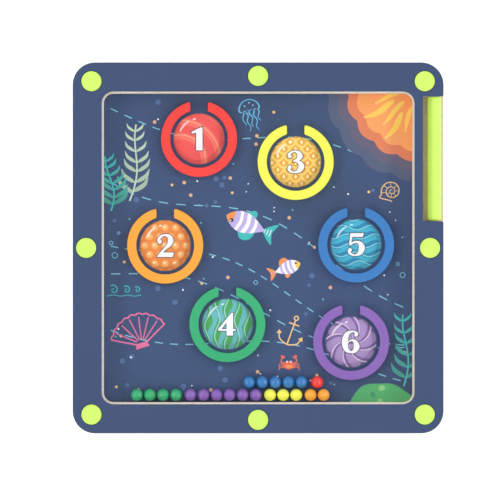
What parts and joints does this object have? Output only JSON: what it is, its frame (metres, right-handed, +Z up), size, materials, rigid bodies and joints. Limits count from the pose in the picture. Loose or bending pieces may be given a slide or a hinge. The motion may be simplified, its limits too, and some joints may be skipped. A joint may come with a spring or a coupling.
{
  "type": "magnetic maze board",
  "caption": "Square framed board with coloured beads under a clear cover, drawn by a magnet pen into numbered open rings.",
  "frame": {"origin": "middle of the flat back, on the surface that the board lies on", "axes": "+Z up out of the play face, +Y towards the top edge, which the rings open to, +X towards the pen"},
  "size_m": [0.3, 0.3, 0.0208],
  "materials": {
    "navy_paint": "satin navy paint on fibreboard",
    "raw_board": "bare pale fibreboard",
    "printed_sheet": "matt navy print",
    "clear_cover": "clear acrylic",
    "lime_plastic": "satin lime plastic",
    "bright_steel": "nickel plate",
    "ring_red": "matt red paint on fibreboard",
    "ring_orange": "matt orange paint on fibreboard",
    "ring_yellow": "matt yellow paint on fibreboard",
    "ring_green": "matt green paint on fibreboard",
    "ring_blue": "matt blue paint on fibreboard",
    "ring_purple": "matt purple paint on fibreboard",
    "bead_red": "satin red plastic coat",
    "bead_orange": "satin orange plastic coat",
    "bead_yellow": "satin yellow plastic coat",
    "bead_green": "satin green plastic coat",
    "bead_blue": "satin blue plastic coat",
    "bead_purple": "satin purple plastic coat"
  },
  "bodies": {
    "board": {"base_board": "raw_board", "play_sheet": "printed_sheet", "wall_frame": "raw_board", "clear_cover": "clear_cover", "front_frame": "navy_paint", "pen_keeper": "bright_steel", "ring_red": "ring_red", "ring_orange": "ring_orange", "ring_yellow": "ring_yellow", "ring_green": "ring_green", "ring_blue": "ring_blue", "ring_purple": "ring_purple", "screw_top_left": "bright_steel", "screw_top": "bright_steel", "screw_top_right": "bright_steel", "screw_right": "bright_steel", "screw_bottom_right": "bright_steel", "screw_bottom": "bright_steel", "screw_bottom_left": "bright_steel", "screw_left": "bright_steel", "cap_top_left": "lime_plastic", "cap_top": "lime_plastic", "cap_top_right": "lime_plastic", "cap_right": "lime_plastic", "cap_bottom_right": "lime_plastic", "cap_bottom": "lime_plastic", "cap_bottom_left": "lime_plastic", "cap_left": "lime_plastic"},
    "pen": {"pen_barrel": "lime_plastic", "pen_magnet": "bright_steel", "pen_tip": "lime_plastic"},
    "bead_green_1": {"bead_green_1": "bead_green"},
    "bead_green_2": {"bead_green_2": "bead_green"},
    "bead_green_3": {"bead_green_3": "bead_green"},
    "bead_green_4": {"bead_green_4": "bead_green"},
    "bead_purple_1": {"bead_purple_1": "bead_purple"},
    "bead_purple_2": {"bead_purple_2": "bead_purple"},
    "bead_purple_3": {"bead_purple_3": "bead_purple"},
    "bead_purple_4": {"bead_purple_4": "bead_purple"},
    "bead_blue_1": {"bead_blue_1": "bead_blue"},
    "bead_blue_2": {"bead_blue_2": "bead_blue"},
    "bead_blue_3": {"bead_blue_3": "bead_blue"},
    "bead_blue_4": {"bead_blue_4": "bead_blue"},
    "bead_blue_5": {"bead_blue_5": "bead_blue"},
    "bead_red_1": {"bead_red_1": "bead_red"},
    "bead_purple_5": {"bead_purple_5": "bead_purple"},
    "bead_purple_6": {"bead_purple_6": "bead_purple"},
    "bead_yellow_1": {"bead_yellow_1": "bead_yellow"},
    "bead_yellow_2": {"bead_yellow_2": "bead_yellow"},
    "bead_yellow_3": {"bead_yellow_3": "bead_yellow"},
    "bead_orange_1": {"bead_orange_1": "bead_orange"},
    "bead_orange_2": {"bead_orange_2": "bead_orange"}
  },
  "joints": [
    {"name": "green_1_roll", "type": "slide", "parent": "board", "child": "bead_green_1", "axis": [0, 1, 0], "range_m": [0, 0.0928]},
    {"name": "green_2_roll", "type": "slide", "parent": "board", "child": "bead_green_2", "axis": [0, 1, 0], "range_m": [0, 0.0867]},
    {"name": "green_3_roll", "type": "slide", "parent": "board", "child": "bead_green_3", "axis": [0, 1, 0], "range_m": [0, 0.0845]},
    {"name": "green_4_roll", "type": "slide", "parent": "board", "child": "bead_green_4", "axis": [0, 1, 0], "range_m": [0, 0.0856]},
    {"name": "purple_1_roll", "type": "slide", "parent": "board", "child": "bead_purple_1", "axis": [0, 1, 0], "range_m": [0, 0.037]},
    {"name": "purple_2_roll", "type": "slide", "parent": "board", "child": "bead_purple_2", "axis": [0, 1, 0], "range_m": [0, 0.0266]},
    {"name": "purple_3_roll", "type": "slide", "parent": "board", "child": "bead_purple_3", "axis": [0, 1, 0], "range_m": [0, 0.022]},
    {"name": "purple_4_roll", "type": "slide", "parent": "board", "child": "bead_purple_4", "axis": [0, 1, 0], "range_m": [0, 0.021]},
    {"name": "blue_1_roll", "type": "slide", "parent": "board", "child": "bead_blue_1", "axis": [0, 1, 0], "range_m": [0, 0.0153]},
    {"name": "blue_2_roll", "type": "slide", "parent": "board", "child": "bead_blue_2", "axis": [0, 1, 0], "range_m": [0, 0.0244]},
    {"name": "blue_3_roll", "type": "slide", "parent": "board", "child": "bead_blue_3", "axis": [0, 1, 0], "range_m": [0, 0.146]},
    {"name": "blue_4_roll", "type": "slide", "parent": "board", "child": "bead_blue_4", "axis": [0, 1, 0], "range_m": [0, 0.1424]},
    {"name": "blue_5_roll", "type": "slide", "parent": "board", "child": "bead_blue_5", "axis": [0, 1, 0], "range_m": [0, 0.1422]},
    {"name": "red_1_roll", "type": "slide", "parent": "board", "child": "bead_red_1", "axis": [0, 1, 0], "range_m": [0, 0.009]},
    {"name": "purple_5_roll", "type": "slide", "parent": "board", "child": "bead_purple_5", "axis": [1, 0, 0], "range_m": [0, 0.0654]},
    {"name": "purple_6_roll", "type": "slide", "parent": "board", "child": "bead_purple_6", "axis": [1, 0, 0], "range_m": [0, 0.0654]},
    {"name": "yellow_1_roll", "type": "slide", "parent": "board", "child": "bead_yellow_1", "axis": [1, 0, 0], "range_m": [0, 0.0654]},
    {"name": "yellow_2_roll", "type": "slide", "parent": "board", "child": "bead_yellow_2", "axis": [1, 0, 0], "range_m": [0, 0.0654]},
    {"name": "yellow_3_roll", "type": "slide", "parent": "board", "child": "bead_yellow_3", "axis": [1, 0, 0], "range_m": [0, 0.0654]},
    {"name": "orange_1_roll", "type": "slide", "parent": "board", "child": "bead_orange_1", "axis": [1, 0, 0], "range_m": [0, 0.0654]},
    {"name": "orange_2_roll", "type": "slide", "parent": "board", "child": "bead_orange_2", "axis": [1, 0, 0], "range_m": [0, 0.0654]},
    {"name": "pen_out", "type": "slide", "parent": "board", "child": "pen", "axis": [1, 0, 0], "range_m": [0, 0.02]}
  ],
  "couplings": [
    {"joint": "purple_6_roll", "follows": "purple_5_roll", "ratio": 1},
    {"joint": "yellow_1_roll", "follows": "purple_5_roll", "ratio": 1},
    {"joint": "yellow_2_roll", "follows": "purple_5_roll", "ratio": 1},
    {"joint": "yellow_3_roll", "follows": "purple_5_roll", "ratio": 1},
    {"joint": "orange_1_roll", "follows": "purple_5_roll", "ratio": 1},
    {"joint": "orange_2_roll", "follows": "purple_5_roll", "ratio": 1}
  ]
}
